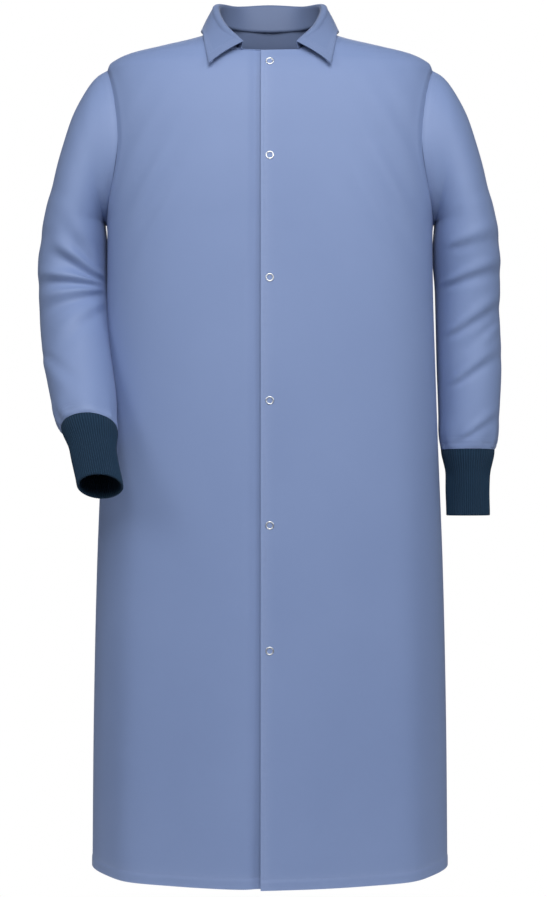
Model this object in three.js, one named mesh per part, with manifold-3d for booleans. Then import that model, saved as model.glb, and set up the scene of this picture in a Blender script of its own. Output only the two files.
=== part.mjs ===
// A long laboratory coat with knit cuffs, closed down the front by six ring snaps.
// Millimetres, +Z up. The front faces -Y and the wearer's left is +X.
// The origin is the middle of the neck at the height of the shoulders' highest points.
import * as THREE from "three";
import { mergeVertices } from "three/addons/utils/BufferGeometryUtils.js";
import Module from "manifold-3d";

// Cloth.
const CLOTH = 1.2; // a panel of twill with its turnings
const FACING = 0.8;
const GAP = 0.3; // between pieces that touch
const KNIT = 3.0; // the doubled wall of a cuff

// Body of the coat.
const HEM_Z = -1160;
const CHEST_HALF_WIDTH = 229;
const HEM_HALF_WIDTH = 250;
const CHEST_DEPTH = 121; // from the middle of the body to the front at chest height
const HEM_DEPTH = 150;
const NECK_HALF_WIDTH = 76;
const NECK_FRONT_Y = -88;
const NECK_BACK_Y = 61;
const BACK_NECK_Z = 28; // the top of the back panel
const NECK_SIDE_Z = 11; // the neckline's height at the shoulder
const NECK_SLOPE = 0.5; // how fast the neckline drops from back to front

// Front opening.
const LAP_EDGE_X = -12; // the edge of the left front, which lies on top
const UNDERLAP_X = 16; // how far the right front reaches under it
const STEP_X = -24; // where the right front dips under the left one
const STEP_WIDTH = 4;
const FACING_WIDTH = 52;
const FOLD_TOP = new THREE.Vector3(50, -118, -50);
const FOLD_BOTTOM = new THREE.Vector3(150, -146, -1165);
const FOLD_STRIP = 30; // the band of cloth that bends when a front is turned back

// Ring snaps.
const SNAP_Z = [-56, -186, -350, -514, -680, -846];
const RING_OUTER = 5.7;
const RING_INNER = 3.7;
const RING_THICKNESS = 1.1;
const SOCKET_OUTER = 6.0;
const SOCKET_THICKNESS = 2.0;
const STUD_HEAD_RADIUS = 2.0;
const STUD_CLEARANCE = 0.5;
const STUD_FLANGE = 0.8;

// Sleeves.
const ARMHOLE_TOP_Z = -46;
const UNDERARM_Z = -262;
const ARMHOLE_HALF_DEPTH = 76;
const UNDERARM_OUT = 3; // the sleeve leaves the body this far outside it
const UPPER_SLEEVE_WIDTH = 90;
const UPPER_SLEEVE_DEPTH = 150;
const FOREARM_WIDTH = 90;
const SLEEVE_END_WIDTH = 76;
const CUFF_TOP_WIDTH = SLEEVE_END_WIDTH - CLOTH; // sewn to the sleeve edge to edge
const CUFF_MOUTH_WIDTH = 60;
const CUFF_LENGTH = 92;

// Collar.
const COLLAR_CLOTH = 1.0;
const INTERLINING = 0.6;

// Facets.
const BODY_FACETS = 44;
const SLEEVE_FACETS = 18;
const ROUND_FACETS = 12;

const FAR = 2000; // well outside the coat

const wasm = await Module();
wasm.setup();

function solid(geometry) {
  const plain = geometry.index ? geometry.toNonIndexed() : geometry.clone();
  for (const name of ["normal", "uv"]) plain.deleteAttribute(name);
  const merged = mergeVertices(plain, 1e-4);
  return new wasm.Manifold(
    new wasm.Mesh({
      numProp: 3,
      vertProperties: new Float32Array(merged.attributes.position.array),
      triVerts: new Uint32Array(merged.index.array),
    }),
  );
}

function geometryOf(body) {
  const mesh = body.getMesh();
  const geometry = new THREE.BufferGeometry();
  geometry.setAttribute("position", new THREE.BufferAttribute(mesh.vertProperties, 3));
  geometry.setIndex(new THREE.BufferAttribute(mesh.triVerts, 1));
  geometry.computeVertexNormals();
  return geometry;
}

// A closed solid through rings of points, capped at both ends, or joined end to end.
function loft(rings, endless = false) {
  const count = rings[0].length;
  const positions = [];
  const push = (...points) => points.forEach((p) => positions.push(p.x, p.y, p.z));
  const last = endless ? rings.length : rings.length - 1;
  for (let i = 0; i < last; i++) {
    const low = rings[i];
    const high = rings[(i + 1) % rings.length];
    for (let j = 0; j < count; j++) {
      const k = (j + 1) % count;
      // The shorter diagonal, so that neighbouring layers of cloth fold the same way.
      if (low[j].distanceTo(high[k]) < low[k].distanceTo(high[j]) + GAP / 10) {
        push(low[j], low[k], high[k], low[j], high[k], high[j]);
      } else {
        push(low[j], low[k], high[j], low[k], high[k], high[j]);
      }
    }
  }
  if (!endless) {
    cap(rings[0], true, push);
    cap(rings[rings.length - 1], false, push);
  }
  const geometry = new THREE.BufferGeometry();
  geometry.setAttribute("position", new THREE.Float32BufferAttribute(positions, 3));
  const made = solid(geometry);
  return made.volume() > 0 ? made : solid(flipped(geometry));
}

function cap(ring, reversed, push) {
  const normal = new THREE.Vector3();
  ring.forEach((p, j) => normal.add(p.clone().cross(ring[(j + 1) % ring.length])));
  const turn = new THREE.Quaternion().setFromUnitVectors(
    normal.normalize(),
    new THREE.Vector3(0, 0, 1),
  );
  const flat = ring.map((p) => p.clone().applyQuaternion(turn));
  const contour = flat.map((p) => new THREE.Vector2(p.x, p.y));
  for (const [a, b, c] of THREE.ShapeUtils.triangulateShape(contour, [])) {
    if (reversed) push(ring[a], ring[c], ring[b]);
    else push(ring[a], ring[b], ring[c]);
  }
}

function flipped(geometry) {
  const turned = geometry.clone();
  const p = turned.attributes.position;
  const a = new THREE.Vector3();
  const b = new THREE.Vector3();
  for (let i = 0; i < p.count; i += 3) {
    a.fromBufferAttribute(p, i);
    b.fromBufferAttribute(p, i + 1);
    p.setXYZ(i, b.x, b.y, b.z);
    p.setXYZ(i + 1, a.x, a.y, a.z);
  }
  return turned;
}

// Catmull-Rom reading of a short table of [z, a, b, ...] rows at a height.
function readTable(rows, z) {
  const last = rows.length - 1;
  if (z >= rows[0][0]) return rows[0].slice(1);
  if (z <= rows[last][0]) return rows[last].slice(1);
  const i = rows.findIndex((row) => row[0] < z) - 1;
  const t = (rows[i][0] - z) / (rows[i][0] - rows[i + 1][0]);
  const before = rows[Math.max(0, i - 1)];
  const after = rows[Math.min(last, i + 2)];
  return rows[i].slice(1).map((value, n) => {
    const next = rows[i + 1][n + 1];
    const slope0 = ((next - before[n + 1]) * (rows[i][0] - rows[i + 1][0]))
      / (before[0] - rows[i + 1][0]);
    const slope1 = ((after[n + 1] - value) * (rows[i][0] - rows[i + 1][0]))
      / (rows[i][0] - after[0]);
    const a = 2 * value - 2 * next + slope0 + slope1;
    const b = -3 * value + 3 * next - 2 * slope0 - slope1;
    return ((a * t + b) * t + slope0) * t + value;
  });
}

// Height, half width, depth to the front, depth to the back, squareness of the section.
const BODY = [
  [BACK_NECK_Z, NECK_HALF_WIDTH + 3, 37, 68, 2],
  [15, NECK_HALF_WIDTH + 9, 50, 71, 2],
  [0, NECK_HALF_WIDTH + 20, 66, 75, 2],
  [-10, 0.55 * CHEST_HALF_WIDTH, 74, 79, 2.1],
  [-20, 0.74 * CHEST_HALF_WIDTH, 81, 83, 2.2],
  [-30, 0.9 * CHEST_HALF_WIDTH, 87, 87, 2.4],
  [-38, 0.965 * CHEST_HALF_WIDTH, 92, 90, 2.5],
  [-48, 0.996 * CHEST_HALF_WIDTH, 98, 94, 2.7],
  [-62, CHEST_HALF_WIDTH, 104, 98, 2.8],
  [-100, CHEST_HALF_WIDTH + 1, CHEST_DEPTH - 8, 104, 3],
  [-170, CHEST_HALF_WIDTH, CHEST_DEPTH, 109, 3],
  [-300, CHEST_HALF_WIDTH - 1, CHEST_DEPTH + 6, 113, 2.8],
  [-500, CHEST_HALF_WIDTH + 4, CHEST_DEPTH + 11, 118, 2.6],
  [-750, CHEST_HALF_WIDTH + 14, HEM_DEPTH - 11, 126, 2.45],
  [-950, HEM_HALF_WIDTH - 2, HEM_DEPTH - 5, 132, 2.35],
  [HEM_Z, HEM_HALF_WIDTH, HEM_DEPTH, 138, 2.25],
];

// Heights of the rings of facets, close together where the shoulders turn over.
const HEIGHTS = [BACK_NECK_Z, 15, 0, -5, -10, -15, -20, -25, -30, -38, -48, -62, -80, -100];
HEIGHTS.push(-135, -170, -235, -300, -400, -500, -625, -750, -850, -950, -1060, HEM_Z);

function bodyRing(z, inset) {
  const [halfWidth, front, back, squareness] = readTable(BODY, z);
  const ring = [];
  for (let j = 0; j < BODY_FACETS; j++) {
    const angle = ((j + 0.5) / BODY_FACETS) * 2 * Math.PI;
    const c = Math.cos(angle);
    const s = Math.sin(angle);
    const depth = s < 0 ? front : back;
    const x = Math.sign(c) * Math.abs(c) ** (2 / squareness) * (halfWidth - inset);
    const y = Math.sign(s) * Math.abs(s) ** (2 / squareness) * (depth - inset);
    ring.push(new THREE.Vector3(x, y, z - inset));
  }
  return ring;
}

function bodySolid(inset) {
  const rings = HEIGHTS.map((z) => bodyRing(z, inset));
  if (inset > 0) {
    const below = rings[rings.length - 1].map((p) => p.clone().setZ(HEM_Z - FAR));
    rings.push(below);
  }
  return loft(rings);
}

// How far forward the faceted front lies at a height.
function frontDepth(z) {
  const i = Math.max(1, HEIGHTS.findIndex((height) => height <= z));
  const [high, low] = [HEIGHTS[i - 1], HEIGHTS[i]];
  const [above, below] = [high, low].map((height) => {
    return -Math.min(...bodyRing(height, 0).map((p) => p.y));
  });
  return THREE.MathUtils.lerp(above, below, (high - z) / (high - low));
}

// How far out the side of the body is at a height and a depth.
function bodySideX(y, z) {
  const [halfWidth, front, back, squareness] = readTable(BODY, z);
  const share = Math.min(1, Math.abs(y) / (y < 0 ? front : back));
  return halfWidth * (1 - share ** squareness) ** (1 / squareness);
}

function box(x0, x1, y0, y1, z0, z1) {
  const geometry = new THREE.BoxGeometry(x1 - x0, y1 - y0, z1 - z0);
  geometry.translate((x0 + x1) / 2, (y0 + y1) / 2, (z0 + z1) / 2);
  return solid(geometry);
}

// A slab in front of the middle plane, between two lines that run down the coat. Each line
// is given by its x at the fold's top and at its bottom.
function frontSlab([topLeft, bottomLeft], [topRight, bottomRight]) {
  const high = BACK_NECK_Z;
  const low = HEM_Z - BACK_NECK_Z;
  const at = (top, bottom, y, z) => {
    const share = (FOLD_TOP.z - z) / (FOLD_TOP.z - FOLD_BOTTOM.z);
    return new THREE.Vector3(THREE.MathUtils.lerp(top, bottom, share), y, z);
  };
  const ring = (y) => [
    at(topLeft, bottomLeft, y, high),
    at(topRight, bottomRight, y, high),
    at(topRight, bottomRight, y, low),
    at(topLeft, bottomLeft, y, low),
  ];
  return loft([ring(-FAR), ring(0)]);
}

const neckline = (() => {
  const shape = new THREE.Shape();
  const middle = (NECK_FRONT_Y + NECK_BACK_Y) / 2;
  shape.absellipse(0, middle, NECK_HALF_WIDTH, (NECK_BACK_Y - NECK_FRONT_Y) / 2, 0, 2 * Math.PI);
  const hole = new THREE.ExtrudeGeometry(shape, { depth: FAR, bevelEnabled: false, curveSegments: 12 });
  hole.translate(0, 0, -FAR / 2);
  const above = new THREE.BoxGeometry(FAR, FAR, FAR);
  above.translate(0, 0, FAR / 2);
  above.rotateX(Math.atan(NECK_SLOPE));
  above.translate(0, 0, NECK_SIDE_Z);
  return solid(hole).intersect(box(-FAR, FAR, -FAR, FAR, HEM_Z / 2, FAR)).add(solid(above));
})();

// The outline of the armhole on the side of the body, seen from the side.
function armholeShape(clearance) {
  const shape = new THREE.Shape();
  const height = (ARMHOLE_TOP_Z - UNDERARM_Z) / 2;
  const middle = (ARMHOLE_TOP_Z + UNDERARM_Z) / 2;
  shape.absellipse(0, middle, ARMHOLE_HALF_DEPTH + clearance, height + clearance, 0, 2 * Math.PI);
  return shape;
}

const armholes = [-1, 1]
  .map((side) => {
    const shape = armholeShape(GAP);
    const depth = CHEST_HALF_WIDTH;
    const hole = new THREE.ExtrudeGeometry(shape, { depth, bevelEnabled: false, curveSegments: 9 });
    hole.rotateX(Math.PI / 2);
    hole.rotateZ(Math.PI / 2);
    hole.translate(side > 0 ? CHEST_HALF_WIDTH / 2 : (-3 * CHEST_HALF_WIDTH) / 2, 0, 0);
    return solid(hole);
  })
  .reduce((sum, hole) => sum.add(hole));

// A layer of cloth that follows the body between two depths below its outer surface.
function bodyLayer(outer, inner) {
  return bodySolid(outer).subtract(bodySolid(inner)).subtract(neckline).subtract(armholes);
}

const LEFT_FACING = CLOTH + GAP;
const SOCKET_FACE = LEFT_FACING + FACING + GAP;
const STUD_FACE = SOCKET_FACE + SOCKET_THICKNESS + GAP;
const UNDERLAP = STUD_FACE + STUD_FLANGE + GAP;
const RIGHT_FACING = UNDERLAP + CLOTH + GAP;
const BACK_RING = RIGHT_FACING + FACING + GAP;

const shell = bodyLayer(0, CLOTH);
const trimmedHem = box(-FAR, FAR, -FAR, FAR, HEM_Z, FAR);
const outside = shell.intersect(trimmedHem);

const coat = new THREE.Group();
const TWILL_BLUE = 0x8296be;
const KNIT_NAVY = 0x1f3350;
const SILVER = 0xc9ccd1;

function piece(name, body, colour, roughness, metalness = 0) {
  const material = new THREE.MeshStandardMaterial({ color: colour, roughness, metalness });
  material.side = THREE.FrontSide;
  const mesh = new THREE.Mesh(geometryOf(body), material);
  mesh.name = name;
  return mesh;
}

const cloth = (name, body) => coat.add(piece(name, body, TWILL_BLUE, 0.85));

// Back, in one piece from neck to hem.
function addBack() {
  cloth("back_panel", outside.intersect(box(-FAR, FAR, GAP / 2, FAR, -FAR, FAR)));
}

// One front, cut into the part that stays, the band that bends and the part that opens.
function addFront(side) {
  const name = side > 0 ? "left" : "right";
  const half = FOLD_STRIP / 2;
  const line = (offset) => [side * (FOLD_TOP.x + offset), side * (FOLD_BOTTOM.x + offset)];
  const slab = (a, b) => (a[0] < b[0] ? frontSlab(a, b) : frontSlab(b, a));
  const front = outside.intersect(box(-FAR, FAR, -FAR, -GAP / 2, -FAR, FAR));
  cloth(name + "_front_panel", front.intersect(slab(line(half + GAP), line(FAR / 2))));
  cloth(name + "_front_fold", front.intersect(slab(line(half), line(-half))));
  if (side > 0) addLeftEdge(front, slab, line(-half - GAP));
  else addRightEdge(front, slab, line(-half - GAP));
}

function addLeftEdge(front, slab, foldSide) {
  const edge = [LAP_EDGE_X, LAP_EDGE_X];
  cloth("left_front_edge", front.intersect(slab(edge, foldSide)));
  const facing = bodyLayer(LEFT_FACING, LEFT_FACING + FACING).intersect(trimmedHem);
  const facingEnd = Math.min(FACING_WIDTH + LAP_EDGE_X, FOLD_TOP.x - FOLD_STRIP / 2);
  const strip = box(LAP_EDGE_X + 1, facingEnd, -FAR, -GAP, HEM_Z + 1, FAR);
  cloth("left_front_facing", facing.intersect(strip));
}

function addRightEdge(front, slab, foldSide) {
  const step = [STEP_X, STEP_X];
  const deepLayer = (outer, inner) => bodyLayer(outer, inner).intersect(trimmedHem);
  const under = deepLayer(UNDERLAP, UNDERLAP + CLOTH);
  const dip = deepLayer(CLOTH / 2, UNDERLAP + CLOTH / 2).intersect(
    box(STEP_X - STEP_WIDTH, STEP_X, -FAR, -GAP / 2, -FAR, FAR),
  );
  const reach = box(STEP_X - STEP_WIDTH, UNDERLAP_X, -FAR, -GAP / 2, -FAR, FAR);
  const outer = front.intersect(slab(foldSide, step));
  cloth("right_front_edge", outer.add(dip).add(under.intersect(reach)));
  const facing = deepLayer(RIGHT_FACING, RIGHT_FACING + FACING);
  const facingEnd = Math.max(UNDERLAP_X - FACING_WIDTH, -FOLD_TOP.x + FOLD_STRIP / 2);
  const strip = box(facingEnd, UNDERLAP_X - 1, -FAR, -GAP, HEM_Z + 1, FAR);
  cloth("right_front_facing", facing.intersect(strip));
}

// A turned ring about +Y, from profile points of [radius, distance behind the coat's face].
function turned(profile) {
  const closed = [...profile, profile[0]].map(([r, y]) => new THREE.Vector2(r, y));
  return loftedLathe(new THREE.LatheGeometry(closed, ROUND_FACETS));
}

function loftedLathe(geometry) {
  const made = solid(geometry);
  return made.volume() > 0 ? made : solid(flipped(geometry.toNonIndexed()));
}

function washer(inner, outer, near, far) {
  return turned([[inner, near], [outer, near], [outer, far], [inner, far]]);
}

// Six ring snaps. The ring and socket clamp the left front, the stud and back ring the right.
function addSnap(z, index) {
  const slope = (frontDepth(z - SOCKET_OUTER) - frontDepth(z + SOCKET_OUTER)) / (2 * SOCKET_OUTER);
  const lean = Math.atan(slope);
  const snap = new THREE.Group();
  snap.position.set(0, -frontDepth(z), z);
  snap.rotation.x = -lean;
  // Layers of the coat are set back both inwards and down, so they lie further apart here.
  const spread = (1 + slope) * Math.cos(lean);
  const metal = (name, body) => {
    snap.add(piece("snap_" + index + "_" + name, body, SILVER, 0.25, 1));
  };
  const bore = STUD_HEAD_RADIUS + STUD_CLEARANCE;
  const socketBack = SOCKET_FACE + SOCKET_THICKNESS;
  const studFar = STUD_FACE + STUD_FLANGE;
  metal("front_ring", washer(RING_INNER, RING_OUTER, -GAP - RING_THICKNESS, -GAP));
  metal("socket", washer(bore, SOCKET_OUTER, SOCKET_FACE, socketBack));
  metal("stud", turned([
    [0, SOCKET_FACE + GAP],
    [STUD_HEAD_RADIUS, SOCKET_FACE + GAP],
    [STUD_HEAD_RADIUS, STUD_FACE],
    [SOCKET_OUTER, STUD_FACE],
    [SOCKET_OUTER, studFar],
    [0, studFar],
  ]));
  metal("back_ring", washer(RING_INNER, RING_OUTER, BACK_RING, BACK_RING + RING_THICKNESS));
  snap.children.forEach((mesh) => mesh.scale.set(1, spread, 1));
  coat.add(snap);
}

// A section of a sleeve: its centre, the way out along its width, and its two half sizes.
function section(x, y, z, lean, pitch, halfWidth, halfDepth) {
  const out = new THREE.Vector3(Math.cos(lean), 0, Math.sin(lean));
  const forward = new THREE.Vector3(0, -Math.cos(pitch), Math.sin(pitch));
  return { centre: new THREE.Vector3(x, y, z), out, forward, halfWidth, halfDepth };
}

function sectionRing(s, side, inset) {
  const ring = [];
  for (let j = 0; j < SLEEVE_FACETS; j++) {
    const angle = (j / SLEEVE_FACETS) * 2 * Math.PI;
    const p = s.centre.clone();
    p.addScaledVector(s.out, Math.cos(angle) * (s.halfWidth - inset));
    p.addScaledVector(s.forward, Math.sin(angle) * (s.halfDepth - inset));
    p.x *= side;
    ring.push(p);
  }
  return ring;
}

// The sleeve's edge in the armhole, on the surface of the body.
function armholeRing(side, inset) {
  const middle = (ARMHOLE_TOP_Z + UNDERARM_Z) / 2;
  const height = (ARMHOLE_TOP_Z - UNDERARM_Z) / 2 - GAP - inset;
  const depth = ARMHOLE_HALF_DEPTH - GAP - inset;
  const ring = [];
  for (let j = 0; j < SLEEVE_FACETS; j++) {
    const angle = (j / SLEEVE_FACETS) * 2 * Math.PI;
    const y = -Math.sin(angle) * depth;
    const z = middle + Math.cos(angle) * height;
    ring.push(new THREE.Vector3(side * (bodySideX(y, z) + GAP), y, z));
  }
  return ring;
}

// How far the sleeve's outer side is from the underarm, as it turns from up to out.
const FAN = [
  [76, 169],
  [62, 128],
  [48, 106],
  [34, 94],
  [18, 89],
  [4, UPPER_SLEEVE_WIDTH],
];

function fanSections() {
  const hingeX = CHEST_HALF_WIDTH + UNDERARM_OUT;
  return FAN.map(([degrees, reach], i) => {
    const lean = THREE.MathUtils.degToRad(degrees);
    const half = reach / 2;
    const share = (i + 1) / FAN.length;
    const depth = THREE.MathUtils.lerp(ARMHOLE_HALF_DEPTH, UPPER_SLEEVE_DEPTH / 2, share);
    const x = hingeX + Math.cos(lean) * half;
    return section(x, 0, UNDERARM_Z - GAP + Math.sin(lean) * half, lean, 0, half, depth);
  });
}

// Below the underarm. The right arm is carried a little forward, so that its cuff
// comes in front of the body, and the left arm hangs straight.
const LEFT_ARM = [
  [276, 0, -290, 0, 0, UPPER_SLEEVE_WIDTH / 2, 73],
  [277, 2, -312, 0, 0, UPPER_SLEEVE_WIDTH / 2, 69],
  [278, 3, -350, 0, 0, FOREARM_WIDTH / 2, 62],
  [279, 2, -390, 0, 0, FOREARM_WIDTH / 2, 56],
  [280, -1, -460, 0, 2, FOREARM_WIDTH / 2, 50],
  [280, -4, -530, 0, 3, 43, 46],
  [279, -6, -566, 0, 3, SLEEVE_END_WIDTH / 2 + 3, 42],
  [278, -7, -580, 0, 3, SLEEVE_END_WIDTH / 2, SLEEVE_END_WIDTH / 2],
];
const RIGHT_ARM = [
  [277, -2, -290, 0, 4, UPPER_SLEEVE_WIDTH / 2, 72],
  [278, -4, -312, 0, 8, UPPER_SLEEVE_WIDTH / 2, 68],
  [279, -10, -350, 0, 16, 46, 62],
  [279, -25, -396, 0, 26, FOREARM_WIDTH / 2, 57],
  [271, -62, -455, 0, 32, FOREARM_WIDTH / 2, 51],
  [262, -100, -514, 0, 34, 43, 45],
  [256, -119, -541, 0, 35, SLEEVE_END_WIDTH / 2 + 3, 41],
  [253, -127, -552, 0, 35, SLEEVE_END_WIDTH / 2, SLEEVE_END_WIDTH / 2],
];
const BEND_START = 2; // sections of the fan above the band that bends at the shoulder
const UPPER_START = FAN.length; // the first section below the underarm
const ELBOW_START = UPPER_START + 1;
const FOREARM_START = ELBOW_START + 2;

function tube(rings, innerRings) {
  return loft([...rings, ...innerRings.reverse()], true);
}

// Moves a ring along its sleeve by the gap that the next piece needs.
function shifted(ring, other) {
  const middle = (r) => r.reduce((sum, p) => sum.add(p), new THREE.Vector3()).divideScalar(r.length);
  const way = middle(other).sub(middle(ring)).normalize().multiplyScalar(GAP);
  return ring.map((p) => p.clone().add(way));
}

function sleevePart(rings, innerRings, start, end) {
  const outer = rings.slice(start, end + 1);
  const inner = innerRings.slice(start, end + 1);
  if (start > 0) {
    outer[0] = shifted(outer[0], outer[1]);
    inner[0] = shifted(inner[0], inner[1]);
  }
  return tube(outer, inner);
}

function addSleeve(side) {
  const name = side > 0 ? "left" : "right";
  const toSection = ([x, y, z, lean, pitch, halfWidth, halfDepth]) => {
    const turn = THREE.MathUtils.degToRad(pitch);
    return section(x, y, z, lean, turn, halfWidth, halfDepth);
  };
  const arm = (side > 0 ? LEFT_ARM : RIGHT_ARM).map(toSection);
  const sections = [...fanSections(), ...arm];
  const rings = (inset) => [
    armholeRing(side, inset),
    ...sections.map((s) => sectionRing(s, side, inset)),
  ];
  const outer = rings(0);
  const inner = rings(CLOTH);
  const part = (start, end) => sleevePart(outer, inner, start, end);
  cloth(name + "_sleeve_head", part(0, BEND_START));
  cloth(name + "_shoulder_bend", part(BEND_START, UPPER_START + 1));
  cloth(name + "_upper_sleeve", part(UPPER_START + 1, ELBOW_START + 1));
  cloth(name + "_elbow_bend", part(ELBOW_START + 1, FOREARM_START + 1));
  cloth(name + "_forearm_sleeve", part(FOREARM_START + 1, outer.length - 1));
  addCuff(name, side, sections[sections.length - 1]);
}

// The knit cuff goes on from the sleeve's end, tighter than the sleeve, and leans inward.
function addCuff(name, side, end) {
  const down = new THREE.Vector3().crossVectors(end.forward, end.out).normalize();
  if (down.z > 0) down.negate();
  const inward = side > 0 ? 0 : 0.22;
  const rows = [
    [GAP, CUFF_TOP_WIDTH],
    [0.12 * CUFF_LENGTH, CUFF_TOP_WIDTH - 4],
    [0.35 * CUFF_LENGTH, CUFF_MOUTH_WIDTH + 1],
    [0.8 * CUFF_LENGTH, CUFF_MOUTH_WIDTH],
    [CUFF_LENGTH, CUFF_MOUTH_WIDTH],
  ];
  const ringsAt = (inset) => rows.map(([along, width]) => {
    const s = { ...end, centre: end.centre.clone().addScaledVector(down, along) };
    s.centre.x -= inward * along;
    s.halfWidth = width / 2;
    s.halfDepth = width / 2;
    return sectionRing(s, side, inset);
  });
  coat.add(piece(name + "_cuff", tube(ringsAt(0), ringsAt(KNIT)), KNIT_NAVY, 0.95));
}

// The collar from the middle of the back to its front end: the seam, the fold and the edge.
const COLLAR = [
  { seam: [0, 66, BACK_NECK_Z + GAP], fold: [0, 68, 62], edge: [0, 86, 18] },
  { seam: [43, 56, BACK_NECK_Z + 1], fold: [44, 57, 60], edge: [64, 74, 15] },
  { seam: [77, 8, 24], fold: [76, 5, 50], edge: [101, 4, 9] },
  { seam: [64, -54, -11], fold: [62, -57, 8], edge: [101, -58, -4] },
  { seam: [40, -92, -31], fold: [38, -97, -27], edge: [82, -109, -59] },
];
const COLLAR_STEPS = 14;
const COLLAR_HALF_FOLD = 3;

function collarSpine(key) {
  const half = COLLAR.map((row) => new THREE.Vector3(...row[key]));
  const mirrored = half.slice(1).map((p) => new THREE.Vector3(-p.x, p.y, p.z)).reverse();
  return new THREE.CatmullRomCurve3([...mirrored, ...half]);
}

// The way across the collar, up from the seam, over the fold and down to the edge, set off
// from its own line by a distance that is measured upwards over the fold.
function collarProfile(seam, fold, edge, offset) {
  const outward = edge.clone().sub(seam).setZ(0).normalize();
  const up = new THREE.Vector3(0, 0, 1);
  const half = COLLAR_HALF_FOLD;
  const over = (sideways, rise) => {
    return fold.clone().addScaledVector(outward, sideways).addScaledVector(up, rise);
  };
  const line = [seam, over(0, -half), over(half, 0), over(2 * half, -half), edge];
  return line.map((point, i) => {
    const ways = [line[i - 1] && [line[i - 1], point], line[i + 1] && [point, line[i + 1]]];
    const normals = ways.filter(Boolean).map(([a, b]) => {
      const along = b.clone().sub(a);
      return new THREE.Vector2(-along.dot(up), along.dot(outward)).normalize();
    });
    const sum = normals.reduce((total, n) => total.clone().add(n)).normalize();
    const reach = offset / sum.dot(normals[0]);
    return point.clone().addScaledVector(outward, sum.x * reach).addScaledVector(up, sum.y * reach);
  });
}

function collarLayer(near, far) {
  const keys = ["seam", "fold", "edge"];
  const spines = keys.map((key) => collarSpine(key).getPoints(2 * COLLAR_STEPS));
  const rings = spines[0].map((seam, i) => {
    const [fold, edge] = [spines[1][i], spines[2][i]];
    const inner = collarProfile(seam, fold, edge, near);
    const outer = collarProfile(seam, fold, edge, far);
    return [...inner, ...outer.reverse()];
  });
  return loft(rings);
}

function addCollar() {
  const stiffener = COLLAR_CLOTH + GAP;
  const upper = stiffener + INTERLINING + GAP;
  cloth("under_collar", collarLayer(0, COLLAR_CLOTH));
  cloth("collar_interlining", collarLayer(stiffener, stiffener + INTERLINING));
  cloth("upper_collar", collarLayer(upper, upper + COLLAR_CLOTH));
}

addBack();
[1, -1].forEach(addFront);
SNAP_Z.forEach((z, i) => addSnap(z, i + 1));
[1, -1].forEach(addSleeve);
addCollar();

export default coat;
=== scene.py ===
import math

import bmesh
import bpy
import numpy as np
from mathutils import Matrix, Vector


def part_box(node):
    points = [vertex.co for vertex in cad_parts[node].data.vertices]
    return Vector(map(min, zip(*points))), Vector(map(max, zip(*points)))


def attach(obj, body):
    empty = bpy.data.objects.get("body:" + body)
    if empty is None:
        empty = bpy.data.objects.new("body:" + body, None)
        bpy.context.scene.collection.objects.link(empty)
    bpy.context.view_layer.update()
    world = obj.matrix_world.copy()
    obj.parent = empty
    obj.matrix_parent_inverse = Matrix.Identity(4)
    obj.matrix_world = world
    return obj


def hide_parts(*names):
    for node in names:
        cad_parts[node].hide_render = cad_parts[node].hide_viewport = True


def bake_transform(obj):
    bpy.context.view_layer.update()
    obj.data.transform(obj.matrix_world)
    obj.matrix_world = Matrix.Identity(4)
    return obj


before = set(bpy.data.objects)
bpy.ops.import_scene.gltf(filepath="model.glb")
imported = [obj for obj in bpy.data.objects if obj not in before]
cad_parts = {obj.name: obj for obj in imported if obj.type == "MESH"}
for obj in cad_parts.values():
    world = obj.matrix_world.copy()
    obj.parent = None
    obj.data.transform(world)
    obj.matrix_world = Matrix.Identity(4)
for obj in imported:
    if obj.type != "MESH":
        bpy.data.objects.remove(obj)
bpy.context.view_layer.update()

HEM_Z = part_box("back_panel")[0][2]
BACK_NECK_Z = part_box("back_panel")[1][2]
HALF_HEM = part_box("back_panel")[1][0]

# ---------------------------------------------------------------------------------------
# The studio: a camera level with the middle of the coat, a white floor well below the hem,
# and four soft lamps: the strongest high in front, one on each side and one behind.
# ---------------------------------------------------------------------------------------
EYE_Z = -0.578
EYE_DISTANCE = 2.3
VIEW_HEIGHT = 1.265  # what the frame holds at the middle of the coat
SENSOR = 36
FLOOR_Z = HEM_Z - 0.35


def lamp(name, place, aim, size, power):
    data = bpy.data.lights.new(name, "AREA")
    data.energy, data.size = power, size
    made = bpy.data.objects.new(name, data)
    bpy.context.collection.objects.link(made)
    made.location = place
    away = Vector(aim) - Vector(place)
    made.rotation_euler = away.to_track_quat("-Z", "Y").to_euler()


camera = bpy.data.objects.new("camera", bpy.data.cameras.new("camera"))
bpy.context.collection.objects.link(camera)
camera.location = (0.005, -EYE_DISTANCE, EYE_Z)
camera.rotation_euler = (math.pi / 2, 0, 0)
camera.data.sensor_width = SENSOR
camera.data.lens = SENSOR * EYE_DISTANCE / VIEW_HEIGHT
bpy.context.scene.camera = camera
bpy.context.scene.view_settings.view_transform = "Standard"

lamp("key", (0.1, -2.3, 1.3), (0, 0, -0.25), 1.8, 67)
lamp("right", (2.0, -1.7, 0.5), (0.28, 0, -0.15), 1.0, 16)
lamp("left", (-2.0, -1.6, 0.8), (-0.28, 0, -0.1), 1.0, 15)
lamp("back", (0, 2.9, 0.9), (0, 0, -0.6), 1.6, 34)

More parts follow.
